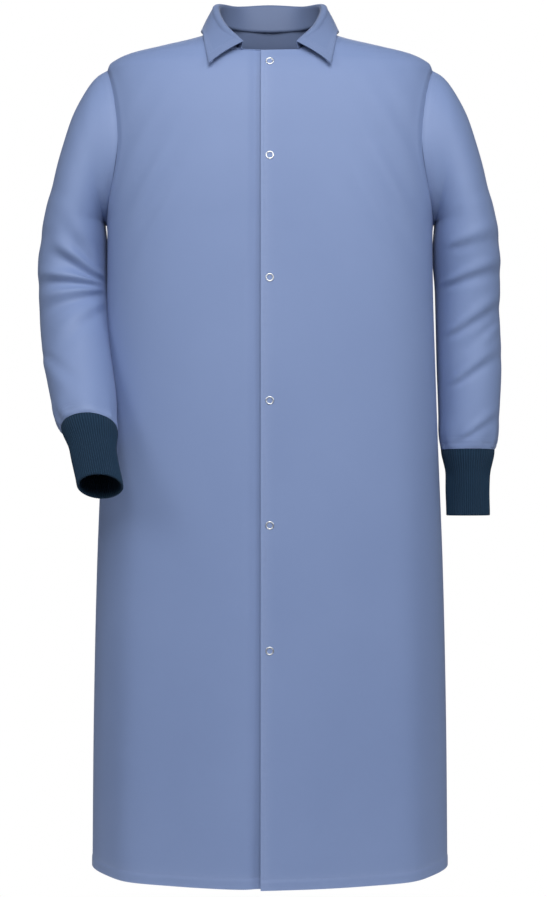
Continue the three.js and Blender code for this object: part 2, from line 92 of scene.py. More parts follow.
world = bpy.data.worlds.new("studio")
bpy.context.scene.world = world
world.use_nodes = True
sky = world.node_tree.nodes
seen = sky.new("ShaderNodeBackground")
seen.inputs["Color"].default_value = (1, 1, 1, 1)
lit = sky["Background"]
lit.inputs["Color"].default_value = (0.93, 0.96, 1, 1)
lit.inputs["Strength"].default_value = 0.12
choose = sky.new("ShaderNodeMixShader")
rays = sky.new("ShaderNodeLightPath")
links = world.node_tree.links
links.new(rays.outputs["Is Camera Ray"], choose.inputs[0])
links.new(lit.outputs[0], choose.inputs[1])
links.new(seen.outputs[0], choose.inputs[2])
links.new(choose.outputs[0], sky["World Output"].inputs["Surface"])


# ---------------------------------------------------------------------------------------
# Shader maths, written as expressions on sockets.
# ---------------------------------------------------------------------------------------
class Value:
    """A socket of a shader, with arithmetic that adds the Math nodes."""

    def __init__(self, finish, socket):
        self.finish, self.socket = finish, socket

    def _math(self, operation, *values):
        return self.finish.node("ShaderNodeMath", {"operation": operation}, values)

    def __add__(self, other):
        return self._math("ADD", self, other)

    def __sub__(self, other):
        return self._math("SUBTRACT", self, other)

    def __rsub__(self, other):
        return self._math("SUBTRACT", other, self)

    def __mul__(self, other):
        return self._math("MULTIPLY", self, other)

    __radd__, __rmul__ = __add__, __mul__

    def wave(self, length):
        return self._math("SINE", self * (2 * math.pi / length))

    def bounded(self):
        return self.finish.node("ShaderNodeClamp", {}, [self])


class Finish:
    """A material built round one Principled shader."""

    def __init__(self, name, **constants):
        self.material = bpy.data.materials.new(name)
        self.material.use_nodes = True
        self.tree = self.material.node_tree
        self.shader = self.tree.nodes["Principled BSDF"]
        for socket, value in constants.items():
            self.shader.inputs[socket.replace("_", " ")].default_value = value

    def node(self, kind, settings, inputs, output=0):
        made = self.tree.nodes.new(kind)
        for setting, value in settings.items():
            setattr(made, setting, value)
        pairs = inputs.items() if isinstance(inputs, dict) else enumerate(inputs)
        for key, value in pairs:
            self.feed(made.inputs[key], value)
        return Value(self, made.outputs[output])

    def feed(self, socket, value):
        if isinstance(value, Value):
            self.tree.links.new(value.socket, socket)
        else:
            socket.default_value = value

    def noise(self, where, scale, detail=2.0):
        inputs = {"Vector": where, "Scale": scale, "Detail": detail}
        return self.node("ShaderNodeTexNoise", {}, inputs)

    def mix(self, share, low, high):
        settings = {"data_type": "RGBA"}
        return self.node("ShaderNodeMix", settings, {0: share, 6: low, 7: high}, 2)

    def set(self, socket, value):
        self.feed(self.shader.inputs[socket], value)

    def bump(self, height, strength, distance):
        inputs = {"Strength": strength, "Distance": distance, "Height": height}
        self.set("Normal", self.node("ShaderNodeBump", {}, inputs))


# ---------------------------------------------------------------------------------------
# The floor is a matt white sheet under the coat.
# ---------------------------------------------------------------------------------------
def white_floor():
    paint = Finish("floor_white", Base_Color=(0.93, 0.93, 0.93, 1), Roughness=0.9)
    paint.shader.inputs["Emission Color"].default_value = (1, 1, 1, 1)
    paint.shader.inputs["Emission Strength"].default_value = 0.12
    bpy.ops.mesh.primitive_plane_add(size=2.1, location=(0, 0, FLOOR_Z))
    floor = bpy.context.object
    floor.name = "floor"
    floor.data.materials.append(paint.material)


white_floor()


# ---------------------------------------------------------------------------------------
# The coat's cloth is a pressed mid-blue polyester and cotton twill: fine diagonal ribs, a
# faint uneven tone, and a slightly rubbed, lighter face along seams and edges.
# ---------------------------------------------------------------------------------------
TWILL = (0.206, 0.282, 0.500, 1)
TWILL_DEEP = (0.186, 0.259, 0.470, 1)
TWILL_RUBBED = (0.250, 0.328, 0.550, 1)
INSIDE_PAINTED_SHADE = 0.62  # how much of the face's tone the cloth keeps on its back, as painted shade on the inside
# the collar's cloth is drawn darker than the same twill elsewhere: painted shade
COLLAR_PAINTED_SHADE = 0.86
CLOTH_THICKNESS = 0.0012


def twill(name, light, deep, rubbed):
    finish = Finish(name, Sheen_Weight=0.05, Sheen_Roughness=0.5)
    finish.shader.inputs["Specular IOR Level"].default_value = 0.42
    along = finish.node("ShaderNodeUVMap", {"uv_map": "cloth"}, [])
    parts = finish.tree.nodes.new("ShaderNodeSeparateXYZ")
    finish.feed(parts.inputs[0], along)
    across, down = (Value(finish, parts.outputs[k]) for k in (0, 1))
    ribs = (across + down).wave(0.0012) * 0.5 + 0.5
    yarns = (across - down).wave(0.0007) * 0.5 + 0.5
    slub = finish.noise(along, 900, 3)
    broad = finish.noise(along, 5, 3)
    fine = finish.noise(along, 160, 2)
    tone = (broad * 1.5 - 0.25 + fine * 0.16 - 0.08).bounded()
    wear_and_rib_shade = finish.node("ShaderNodeAttribute", {"attribute_name": "wear_and_rib_shade"}, [], "Fac")
    colour = finish.mix(tone, deep, light)
    rubbed_here = (wear_and_rib_shade * (0.35 + fine * 0.5)).bounded()
    colour = finish.mix(rubbed_here, colour, rubbed)
    # painted shade: where the rib bump is low, in the grooves, the colour is mixed up to a tenth
    # towards a darker blue
    colour = finish.mix((1 - ribs) * 0.10, colour, tuple(0.72 * c for c in deep[:3]) + (1,))
    finish.set("Base Color", colour)
    finish.set("Roughness", 0.50 + slub * 0.16)
    finish.bump(ribs * 0.6 + yarns * 0.2 + slub * 0.8, 0.22, 0.00035)
    return finish.material


def dimmed(share):
    """The cloth's three tones, all darker by one share, for the copies that carry painted shade."""
    tones = (TWILL, TWILL_DEEP, TWILL_RUBBED)
    return [tuple(share * c for c in tone[:3]) + (1,) for tone in tones]


blue_twill = twill("blue_twill", TWILL, TWILL_DEEP, TWILL_RUBBED)
# the inside and collar twills are darker copies of the same cloth: painted shade
inside_twill_painted_shade = twill("blue_twill_inside_painted_shade", *dimmed(INSIDE_PAINTED_SHADE))
collar_twill_painted_shade = twill("blue_twill_collar_painted_shade", *dimmed(COLLAR_PAINTED_SHADE))
sewing_thread = twill("blue_thread", TWILL_RUBBED, TWILL, TWILL_RUBBED)


def grid_normals(grid, wrap=False):
    """Unit normals of a grid of points, rows by columns."""
    if wrap:
        along = np.roll(grid, -1, 1) - np.roll(grid, 1, 1)
    else:
        along = np.gradient(grid, axis=1)
    normal = np.cross(np.gradient(grid, axis=0), along)
    return normal / np.maximum(np.linalg.norm(normal, axis=2, keepdims=True), 1e-12)


def cloth_piece(name, grid, thickness=CLOTH_THICKNESS, wrap=False, wear_and_rib_shade=None, stitches=(),
                slot="twill", face=None, inner_columns=0):
    """A closed sheet of cloth: its face, its back and a square edge, with rows of stitches.
    The grid's face is the side that its normals leave. The back, and a few inner columns of the
    face, take the darker inside twill, which is painted shade."""
    rows, columns = grid.shape[:2]
    normal = grid_normals(grid, wrap)
    back = grid - normal * thickness
    points = np.concatenate([grid.reshape(-1, 3), back.reshape(-1, 3)])
    step = rows * columns
    index = np.arange(step).reshape(rows, columns)
    right = np.roll(index, -1, 1) if wrap else index[:, 1:]
    left = index if wrap else index[:, :-1]
    quads = np.stack([left[:-1], left[1:], right[1:], right[:-1]], axis=-1).reshape(-1, 4)
    faces = [quads, quads[:, ::-1] + step]
    edges = [(index[0], 1), (index[-1], -1)]
    if wrap:
        edges = [(np.append(edge, edge[0]), turn) for edge, turn in edges]
    else:
        edges += [(index[:, 0], -1), (index[:, -1], 1)]
    for edge, turn in edges:
        a, b = (edge[:-1], edge[1:]) if turn > 0 else (edge[1:], edge[:-1])
        faces.append(np.stack([a, b, b + step, a + step], axis=-1))
    faces = np.concatenate(faces)
    lengths = np.linalg.norm(np.diff(grid, axis=1), axis=2)
    across = np.concatenate([np.zeros((rows, 1)), np.cumsum(lengths, axis=1)], axis=1)
    across -= across[:, columns // 2][:, None]
    drops = np.linalg.norm(np.diff(grid, axis=0), axis=2).mean(axis=1)
    down = np.concatenate([[0], np.cumsum(drops)])[:, None] * np.ones((1, columns))
    flat = np.stack([across, down], axis=-1).reshape(-1, 2)
    flat = np.concatenate([flat, flat])
    worn = np.zeros((rows, columns)) if wear_and_rib_shade is None else wear_and_rib_shade
    worn = np.concatenate([worn.reshape(-1)] * 2)
    sewn = [stitch_row(*row) for row in stitches]
    for sewn_points, sewn_faces in sewn:
        faces = np.concatenate([faces, sewn_faces + len(points)])
        points = np.concatenate([points, sewn_points])
    thread_from = len(faces) - sum(len(thread_faces) for _, thread_faces in sewn)
    extra = len(points) - len(flat)
    flat = np.concatenate([flat, np.zeros((extra, 2))])
    worn = np.concatenate([worn, np.zeros(extra)])

    mesh = bpy.data.meshes.new(name)
    mesh.from_pydata(points.tolist(), [], faces.tolist())
    corners = np.empty(len(mesh.loops), dtype=np.int64)
    mesh.loops.foreach_get("vertex_index", corners)
    layer = mesh.uv_layers.new(name="cloth")
    layer.data.foreach_set("uv", flat[corners].astype(np.float32).ravel())
    # this attribute holds real wear on the twill, and painted rib light and shade on the cuffs
    wear_layer = mesh.attributes.new("wear_and_rib_shade", "FLOAT", "POINT")
    wear_layer.data.foreach_set("value", worn.astype(np.float32))
    dress = (face or blue_twill, inside_twill_painted_shade, sewing_thread)
    if slot != "twill":
        dress = (navy_knit,) * 3
    for material in dress:
        mesh.materials.append(material)
    slots = np.zeros(len(faces), dtype=np.int32)
    # the back and a few inner columns of the face take the darker inside twill: painted shade
    slots[len(quads):2 * len(quads)] = 1
    slots[:len(quads)].reshape(rows - 1, -1)[:, :inner_columns] = 1
    slots[thread_from:] = 2
    mesh.polygons.foreach_set("material_index", slots)
    mesh.polygons.foreach_set("use_smooth", np.ones(len(faces), dtype=bool))
    sharpen_rims(mesh, len(quads), slots)
    made = bpy.data.objects.new(name, mesh)
    bpy.context.collection.objects.link(made)
    return made


def sharpen_rims(mesh, face_count, slots):
    """Marks the edges where a sheet's face and back meet its rim as sharp."""
    made = bmesh.new()
    made.from_mesh(mesh)
    made.faces.ensure_lookup_table()
    for rim in made.faces[2 * face_count:]:
        if slots[rim.index] == 2:
            break
        for edge in rim.edges:
            if any(face.index < 2 * face_count for face in edge.link_faces):
                edge.smooth = False
    made.to_mesh(mesh)
    made.free()


STITCH = 0.0028  # length of one lockstitch
STITCH_WIDTH = 0.00042


def stitch_row(path, normals):
    """Short rounded threads along a path that lies on the cloth."""
    lengths = np.linalg.norm(np.diff(path, axis=0), axis=1)
    run = np.concatenate([[0], np.cumsum(lengths)])
    count = max(1, int(run[-1] / STITCH))
    starts = (np.arange(count) + 0.14) * run[-1] / count
    ends = (np.arange(count) + 0.86) * run[-1] / count
    at = lambda s, what: np.stack([np.interp(s, run, what[:, k]) for k in range(3)], axis=-1)
    points, faces = [], []
    out = at((starts + ends) / 2, normals)
    out /= np.linalg.norm(out, axis=1, keepdims=True)
    a, b = at(starts, path), at(ends, path)
    way = b - a
    side = np.cross(way, out)
    side /= np.maximum(np.linalg.norm(side, axis=1, keepdims=True), 1e-12)
    low, high = -0.2 * STITCH_WIDTH, 0.55 * STITCH_WIDTH
    for share, lift, half in ((0, low, 0.25), (0.2, high, 0.5), (0.8, high, 0.5), (1, low, 0.25)):
        middle = a + way * share
        for turn in (-1, 1):
            points.append(middle + out * lift + side * (turn * half * STITCH_WIDTH))
        for turn in (1, -1):
            under = middle + out * (lift - 0.5 * STITCH_WIDTH)
            points.append(under + side * (turn * half * STITCH_WIDTH))
    points = np.stack(points, axis=1)
    corners = np.arange(4)
    for ring in range(3):
        for c in corners:
            d = (c + 1) % 4
            faces.append([4 * ring + c, 4 * ring + d, 4 * ring + 4 + d, 4 * ring + 4 + c])
    faces += [[3, 2, 1, 0], [12, 13, 14, 15]]
    faces = np.array(faces)[None] + (np.arange(count) * points.shape[1])[:, None, None]
    return points.reshape(-1, 3), faces.reshape(-1, 4)


def sewn_along(grid, row=None, column=None):
    """A stitch row's path: one row or column of a grid, and the way off the cloth."""
    normal = grid_normals(grid)
    if row is not None:
        return grid[row], normal[row]
    return grid[:, column], normal[:, column]


# ---------------------------------------------------------------------------------------
# The body of the coat hangs as a smooth oval that narrows fast over the shoulders. Rows
# of the table are the height, half width, depth to the front, depth to the back and the
# squareness of the oval, from the neck down to the hem.
# ---------------------------------------------------------------------------------------
OVAL = [
    (BACK_NECK_Z, 0.079, 0.037, 0.068, 2.0),
    (0.015, 0.085, 0.050, 0.071, 2.0),
    (0.000, 0.096, 0.066, 0.075, 2.0),
    (-0.010, 0.126, 0.074, 0.079, 2.1),
    (-0.020, 0.169, 0.081, 0.083, 2.2),
    (-0.030, 0.206, 0.087, 0.087, 2.4),
    (-0.038, 0.221, 0.092, 0.090, 2.5),
    (-0.048, 0.228, 0.098, 0.094, 2.7),
    (-0.062, 0.229, 0.104, 0.098, 2.8),
    (-0.100, 0.230, 0.113, 0.104, 3.0),
    (-0.170, 0.229, 0.121, 0.109, 3.0),
    (-0.300, 0.228, 0.127, 0.113, 2.8),
    (-0.500, 0.233, 0.132, 0.118, 2.6),
    (-0.750, 0.243, 0.139, 0.126, 2.45),
    (-0.950, HALF_HEM - 0.002, 0.145, 0.132, 2.35),
    (HEM_Z, HALF_HEM, 0.150, 0.138, 2.25),
]
ARMHOLE_TOP, UNDERARM = -0.046, -0.262
ARMHOLE_HALF_DEPTH = 0.076
SEAM_GROOVE = 0.0005


def smooth_table(rows, at):
    """Catmull-Rom values of a table's columns at falling heights."""
    heights = np.array([r[0] for r in rows])
    values = np.array([r[1:] for r in rows])
    slopes = np.gradient(values, heights, axis=0)
    at = np.clip(at, heights[-1], heights[0])
    i = np.clip(len(heights) - 1 - np.searchsorted(heights[::-1], at), 0, len(heights) - 2)
    gap = heights[i + 1] - heights[i]
    t = ((at - heights[i]) / gap)[..., None]
    gap = gap[..., None]
    h0 = (1 + 2 * t) * (1 - t) ** 2 * values[i] + t * (1 - t) ** 2 * slopes[i] * gap
    return h0 + t * t * (3 - 2 * t) * values[i + 1] + t * t * (t - 1) * slopes[i + 1] * gap


def oval_row(z, start_x, end_y, depth, columns):
    """Evenly spaced points on one side of the oval, from start_x round to end_y."""
    half, front, back, square = smooth_table(OVAL, np.array([z]))[0]
    reach = front if depth < 0 else back
    y_of = lambda x: reach * np.maximum(0, 1 - (np.abs(x) / half) ** square) ** (1 / square)
    x_of = lambda y: half * np.maximum(0, 1 - (np.minimum(y / reach, 1)) ** square) ** (1 / square)
    turn_x = 0.8 * half
    turn_y = y_of(turn_x)
    if end_y > turn_y:
        xs = np.linspace(start_x, x_of(end_y), 500)
        ys = y_of(xs)
        ys[-1] = end_y
    else:
        xs = np.linspace(start_x, turn_x, 400)
        side_y = np.linspace(turn_y, end_y, 260)[1:]
        xs, ys = np.append(xs, x_of(side_y)), np.append(y_of(xs), side_y)
    run = np.concatenate([[0], np.cumsum(np.hypot(np.diff(xs), np.diff(ys)))])
    even = np.linspace(0, run[-1], columns)
    x, y = np.interp(even, run, xs), np.interp(even, run, ys)
    return np.stack([x, math.copysign(1, depth) * y, np.full(columns, z)], axis=-1)


def armhole_depth(z):
    """Half the armhole's depth at a height, nothing above or below it."""
    share = (z - (ARMHOLE_TOP + UNDERARM) / 2) / ((ARMHOLE_TOP - UNDERARM) / 2)
    return ARMHOLE_HALF_DEPTH * math.sqrt(max(0.0, 1 - share * share))


def near(value, centre, width):
    return np.exp(-(((value - centre) / width) ** 2))


def soft_fold(points):
    """How far the hanging cloth stands off its plain oval: long shallow folds below the
    waist, drags from the armholes, and a groove along each armhole seam."""
    x, y, z = points[..., 0], points[..., 1], points[..., 2]
    low = np.clip((-0.30 - z) / 0.86, 0, 1)
    low = low * low * (3 - 2 * low)
    away = np.clip(np.abs(y) / 0.055, 0, 1)
    away = away * away * (3 - 2 * away)
    front, back = away * (y < 0), away * (y >= 0)
    off = 0.0055 * low * near(x, -0.176 - 0.014 * low, 0.020) * front
    off -= 0.0050 * low * near(x, -0.128 - 0.012 * low, 0.030) * front
    off += 0.0050 * low * near(x, 0.185 + 0.012 * low, 0.024) * front
    off -= 0.0040 * low * near(x, 0.140, 0.030) * front
    off += 0.0028 * low * np.sin(x * 46 + 0.8) * front * (1 - near(x, 0, 0.09))
    off += 0.0060 * low * np.sin(x * 34 + 0.5) * back * (1 - 0.3 * near(x, 0, 0.05))
    drag = np.abs(x) * 0.9 + (z + 0.20) * 0.55
    chest = near(z, -0.22, 0.11) * near(np.abs(x), 0.165, 0.045) * away
    off += 0.0016 * chest * np.sin(drag * 150)
    off += 0.0012 * near(z, -0.42, 0.16) * np.sin(x * 30 + z * 11 + 1.0) * away
    off -= 0.0010 * near(y, 0, 0.0022)
    off -= 0.0060 * near(z, -0.44, 0.10) * near(x, -0.228, 0.018) * near(y, -0.03, 0.05)
    ring = np.hypot((z - (ARMHOLE_TOP + UNDERARM) / 2) / ((ARMHOLE_TOP - UNDERARM) / 2),
                    y / ARMHOLE_HALF_DEPTH)
    seam = (np.abs(ring - 1) * 0.085)
    off -= SEAM_GROOVE * near(seam, 0, 0.0035) * (np.abs(x) > 0.16)
    off += 0.0006 * near(seam, 0.0075, 0.003) * (np.abs(x) > 0.16)
    return off


def settle(grid, extra=0.0):
    """Moves a grid of the body's cloth out by its folds."""
    normal = grid_normals(grid)
    return grid + normal * (soft_fold(grid) + extra)[..., None]


def hem_rows(top):
    """Heights of the rows: close together over the shoulders, the armhole's ends and the hem."""
    marks = [top, -0.030, -0.037, -0.044, -0.047, -0.056, -0.075, -0.21, -0.25, -0.261, -0.264,
             -0.275, -0.40, -0.80, HEM_Z + 0.045, HEM_Z + 0.016, HEM_Z]
    counts = [14 if top > 0 else 2, 3, 5, 4, 5, 6, 22, 8, 6, 3, 4, 14, 34, 26, 12, 12]
    marks = [m for m in marks if m <= top]
    counts = counts[-(len(marks) - 1):]
    rows = [np.linspace(a, b, n, endpoint=False) for a, b, n in zip(marks, marks[1:], counts)]
    return np.append(np.concatenate(rows), HEM_Z)


HEM_STITCH_UP = 0.014


def hem_shape(z):
    """The turned-up hem is a little thicker, with a shallow dip where it is stitched."""
    up = z - HEM_Z
    fold = 0.0006 / (1 + np.exp((up - HEM_STITCH_UP) / 0.0012))
    return fold - 0.0005 * near(up, HEM_STITCH_UP, 0.0016)


def edge_wear(*distances):
    """Paler cloth near edges and seams, by distance in metres."""
    return np.clip(sum(np.exp(-np.abs(d) / 0.004) for d in distances), 0, 1)


# ---------------------------------------------------------------------------------------
# The back is one piece of twill from the neck to the hem, joined to the fronts at the
# shoulders and sides, and to the sleeves round the armholes.
# ---------------------------------------------------------------------------------------
def back_panel():
    rows = []
    for z in hem_rows(BACK_NECK_Z):
        half = oval_row(z, 0, armhole_depth(z), 1, 76)
        rows.append(np.concatenate([half[:0:-1] * (-1, 1, 1), half]))
    grid = np.array(rows)[:, ::-1]
    grid = settle(grid, hem_shape(grid[..., 2]))
    hem = np.argmin(np.abs(grid[:, 0, 2] - HEM_Z - HEM_STITCH_UP))
    worn = edge_wear(grid[..., 2] - HEM_Z, grid[..., 2] - HEM_Z - HEM_STITCH_UP)
    stitches = [sewn_along(grid, row=hem)]
    made = cloth_piece("back_cloth", grid, wear_and_rib_shade=worn * 0.7, stitches=stitches)
    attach(made, "coat_body")
    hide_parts("back_panel")


back_panel()


# ---------------------------------------------------------------------------------------
# Each front is one piece of twill with its edge turned in. The left front laps over the
# right one, which dips under it.
# ---------------------------------------------------------------------------------------
NECK_FRONT_Z = -0.038
NECK_FLAT = 0.031
NECK_RISE = 22.0
LAP_X = -0.012
UNDERLAP_X = 0.016
UNDERLAP_DEPTH = 0.0052
EDGE_STITCH_IN = 0.006


def neck_start(z, edge_x):
    """Where a row of the front begins: at its edge, or at the neckline above it."""
    if z <= NECK_FRONT_Z:
        return edge_x
    return NECK_FLAT + math.sqrt((z - NECK_FRONT_Z) / NECK_RISE)


def front_grid(edge_x):
    """A front as seen on the wearer's left. The edge is at edge_x, past the middle."""
    rows = []
    for z in hem_rows(0.012):
        rows.append(oval_row(z, neck_start(z, edge_x), armhole_depth(z), -1, 112))
    return np.array(rows)


def bend_front(made):
    """Bakes the front's placement into its mesh."""
    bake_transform(made)


def left_front():
    grid = front_grid(LAP_X)
    grid = settle(grid, hem_shape(grid[..., 2]))
    x, z = grid[..., 0], grid[..., 2]
    low = np.clip((-0.75 - z) / 0.41, 0, 1)
    grid[..., 1] -= 0.0007 * near(x, LAP_X, 0.005) + 0.0045 * low ** 2 * near(x, LAP_X, 0.035)
    edge = x - LAP_X
    hem = np.argmin(np.abs(grid[:, 60, 2] - HEM_Z - HEM_STITCH_UP))
    stitch = np.argmin(np.abs(grid[-1, :, 0] - LAP_X - EDGE_STITCH_IN))
    down = grid[:, 0, 2] <= NECK_FRONT_Z
    path, out = sewn_along(grid, column=stitch)
    row_path, row_out = sewn_along(grid, row=hem)
    worn = edge_wear(edge, edge - EDGE_STITCH_IN, z - HEM_Z, z - HEM_Z - HEM_STITCH_UP)
    stitches = [(path[down], out[down]), (row_path, row_out)]
    made = cloth_piece("left_front", grid, wear_and_rib_shade=worn * 0.8, stitches=stitches)
    bend_front(made)
    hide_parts("left_front_panel", "left_front_fold", "left_front_edge")


def right_front():
    grid = front_grid(-UNDERLAP_X)
    grid = settle(grid, hem_shape(grid[..., 2]))
    x, z = grid[..., 0], grid[..., 2]
    dip = 1 / (1 + np.exp((x - 0.024) / 0.0035))
    grid[..., 1] += UNDERLAP_DEPTH * dip
    mirrored = (grid * (-1, 1, 1))[:, ::-1]
    hem = np.argmin(np.abs(grid[:, 60, 2] - HEM_Z - HEM_STITCH_UP))
    row_path, row_out = sewn_along(mirrored, row=hem)
    z = mirrored[..., 2]
    worn = edge_wear(z - HEM_Z, z - HEM_Z - HEM_STITCH_UP)
    made = cloth_piece("right_front", mirrored, wear_and_rib_shade=worn * 0.8, stitches=[(row_path, row_out)])
    bend_front(made)
    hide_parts("right_front_panel", "right_front_fold", "right_front_edge")


left_front()
right_front()


# ---------------------------------------------------------------------------------------
# A facing is the strip of the same twill behind each front edge. It carries the snaps'
# hidden halves and is caught in the hem at its foot.
# ---------------------------------------------------------------------------------------
def facing(side, node, body, low_x, high_x, depth):
    rows = []
    for z in np.linspace(NECK_FRONT_Z - 0.003, HEM_Z + 0.002, 120):
        x = np.linspace(low_x, high_x, 16)
        half, front, _, square = smooth_table(OVAL, np.array([z]))[0]
        y = -front * (1 - (np.abs(x) / half) ** square) ** (1 / square)
        rows.append(np.stack([x, y, np.full(16, z)], axis=-1))
    grid = settle(np.array(rows))
    grid = grid - grid_normals(grid) * depth
    if side < 0:
        grid = (grid * (-1, 1, 1))[:, ::-1]
    made = cloth_piece(node + "_strip", grid, thickness=0.0007)
    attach(made, body)
    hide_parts(node)


facing(1, "left_front_facing", "left_front", LAP_X + 0.0015, 0.034, 0.0016)
facing(-1, "right_front_facing", "right_front", -UNDERLAP_X + 0.0015, 0.012, 0.0072)


# ---------------------------------------------------------------------------------------
# The collar is turned down along its whole length. The upper collar shows inside the neck
# as the band, goes over the fold and down outside as the leaf, and turns under at the
# edge. The under collar lines the space between, and the interlining stiffens the leaf.
# ---------------------------------------------------------------------------------------
COLLAR = np.array([
    # seam, fold and edge, from the middle of the back to the front end
    [[0, 0.066, 0.0285], [0, 0.068, 0.0640], [0, 0.085, 0.016]],
    [[0.043, 0.056, 0.0285], [0.045, 0.057, 0.0590], [0.062, 0.073, 0.013]],
    [[0.075, 0.008, 0.023], [0.072, 0.005, 0.047], [0.092, 0.005, 0.007]],
    [[0.064, -0.054, -0.012], [0.062, -0.057, 0.006], [0.091, -0.058, -0.009]],
    [[0.038, -0.0925, -0.033], [0.036, -0.097, -0.0275], [0.082, -0.110, -0.0600]],
])


def spline(points, count):
    """A smooth curve through points, evenly spaced by length."""
    points = np.asarray(points, dtype=float)
    padded = np.concatenate([2 * points[:1] - points[1:2], points, 2 * points[-1:] - points[-2:-1]])
    fine = []
    for i in range(len(points) - 1):
        a, b, c, d = padded[i:i + 4]
        t = np.linspace(0, 1, 60, endpoint=False)[:, None]
        fine.append(0.5 * (2 * b + (c - a) * t + (2 * a - 5 * b + 4 * c - d) * t * t
                           + (3 * b - a - 3 * c + d) * t ** 3))
    fine = np.concatenate(fine + [points[-1:]])
    lengths = np.linalg.norm(np.diff(fine[:, :3], axis=0), axis=1)
    run = np.concatenate([[0], np.cumsum(lengths)])
    even = np.linspace(0, run[-1], count)
    return np.stack([np.interp(even, run, fine[:, k]) for k in range(fine.shape[1])], axis=-1)


def collar_lines(count):
    """The seam, the fold and the edge as three lines with matching points."""
    both = np.concatenate([(COLLAR * (-1, 1, 1))[:0:-1], COLLAR]).reshape(-1, 9)
    return spline(both, count).reshape(count, 3, 3)


def collar_profile(seam, fold, edge, lift, inset, turn_under, flat):
    """From the seam up, over the fold and down to the edge, standing off by lift."""
    up = np.array([0, 0, 1.0])
    out = (edge - seam) * (1, 1, 0)
    out /= np.linalg.norm(out)
    arc = np.linspace(0, math.pi, 11)[:, None]
    lift, half_fold = lift * flat, 0.0030 * flat
    radius = half_fold + lift
    centre = fold + out * half_fold - up * half_fold
    over = centre - out * np.cos(arc) * radius + up * np.sin(arc) * (radius * 0.9)
    foot = seam - out * lift
    leaf = edge - over[-1]
    length = np.linalg.norm(leaf)
    off = np.cross(np.cross(out, up), leaf / length)
    off = off if off @ out > 0 else -off
    end = edge + off * lift - leaf / length * inset
    t = np.linspace(0, 1, 9, endpoint=False)[:, None]
    rise = foot + (over[0] - foot) * t
    t = np.linspace(0, 1, 20)[1:, None]
    fall = over[-1] + (end - over[-1]) * t + off * (0.0016 * np.sin(math.pi * t))
    heel = [seam + out * 0.0006 - up * 0.0040, foot - up * 0.0034]
    path = np.concatenate([heel, rise, over, fall])
    if turn_under:
        tip = end + leaf / length * 0.0006 - off * 0.0008
        back = end - off * 0.0016
        path = np.concatenate([path, [tip, back, back - leaf / length * 0.007]])
    return path


def collar_sheet(name, node, lift, inset, turn_under, trim, stations=132):
    lines = collar_lines(stations)
    if trim:
        keep = np.linalg.norm(lines[:, 2] - lines[0, 2], axis=1) > trim
        keep &= np.linalg.norm(lines[:, 2] - lines[-1, 2], axis=1) > trim
        lines = lines[keep]
    from_end = np.minimum(np.arange(len(lines)), np.arange(len(lines))[::-1]) / 12
    flats = 0.14 + 0.86 * np.sin(np.clip(from_end, 0, 1) * math.pi / 2)
    rows = [collar_profile(*line, lift, inset, turn_under, f) for line, f in zip(lines, flats)]
    grid = np.array(rows)
    stitch = 39
    edge = np.zeros(grid.shape[:2])
    stitches = ()
    if turn_under:
        edge[:, 36:] = 0.45
        edge[:4] = edge[-4:] = 0.35
        edge[:, 15:18] = 0.3
        path, out = sewn_along(grid, column=stitch - 1)
        stitches = [(path[3:-3], out[3:-3])]
        for end in (3, -4):
            path, out = sewn_along(grid, row=end)
            stitches.append((path[22:stitch], out[22:stitch]))
    # the collar's face takes the darker collar twill, and its first 14 columns, the band inside the
    # neck, the darker inside twill: painted shade
    made = cloth_piece(name, grid, thickness=0.0009, wear_and_rib_shade=edge, stitches=stitches,
                        face=collar_twill_painted_shade, inner_columns=14)
    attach(made, "coat_body")
    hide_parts(node)
    return made


leaf = collar_sheet("collar_top", "upper_collar", 0.0028, 0.0, True, 0)
lining = collar_sheet("collar_under", "under_collar", 0.0004, 0.0035, False, 0.005)
stiffener = collar_sheet("collar_stiffener", "collar_interlining", 0.0016, 0.0045, False, 0.007)


# ---------------------------------------------------------------------------------------
# The sleeves are set in round the armholes, turn down over the shoulder and narrow to the
# wrist. The left one hangs; the right one comes forward from the elbow, which gathers
# folds that fan out from inside the elbow.
# ---------------------------------------------------------------------------------------
HINGE_X = 0.232
# the fan over the shoulder: lean from level in degrees, and reach from the underarm
FAN = [(84, 0.196), (76, 0.166), (62, 0.124), (48, 0.102), (34, 0.090), (18, 0.086), (4, 0.086)]
# down the arm: middle, forward pitch in degrees, half width and half depth
LEFT_ARM = [
    (0.2755, 0.000, -0.290, 0, 0.0455, 0.073),
    (0.2765, 0.002, -0.312, 0, 0.0465, 0.069),
    (0.2785, 0.003, -0.350, 0, 0.0460, 0.062),
    (0.2790, 0.002, -0.390, 0, 0.0455, 0.056),
    (0.2800, -0.001, -0.460, 2, 0.0448, 0.050),
    (0.2800, -0.004, -0.530, 3, 0.0430, 0.046),
    (0.2790, -0.006, -0.562, 3, 0.0415, 0.043),
    (0.2785, -0.0068, -0.575, 3, 0.0390, 0.0400),
    (0.2780, -0.007, -0.580, 3, 0.0375, 0.0380),
]
RIGHT_ARM = [
    (0.2750, -0.002, -0.290, 4, 0.0455, 0.072),
    (0.2765, -0.004, -0.312, 8, 0.0475, 0.068),
    (0.2760, -0.010, -0.350, 16, 0.0485, 0.062),
    (0.2725, -0.025, -0.396, 26, 0.0490, 0.057),
    (0.2630, -0.062, -0.455, 32, 0.0465, 0.051),
    (0.2510, -0.100, -0.514, 34, 0.0445, 0.045),
    (0.2455, -0.119, -0.541, 35, 0.0415, 0.041),
    (0.2415, -0.1255, -0.5500, 35, 0.0390, 0.039),
    (0.2405, -0.127, -0.552, 35, 0.0375, 0.0375),
]
AROUND = 96
SPLIT_Z = -0.300


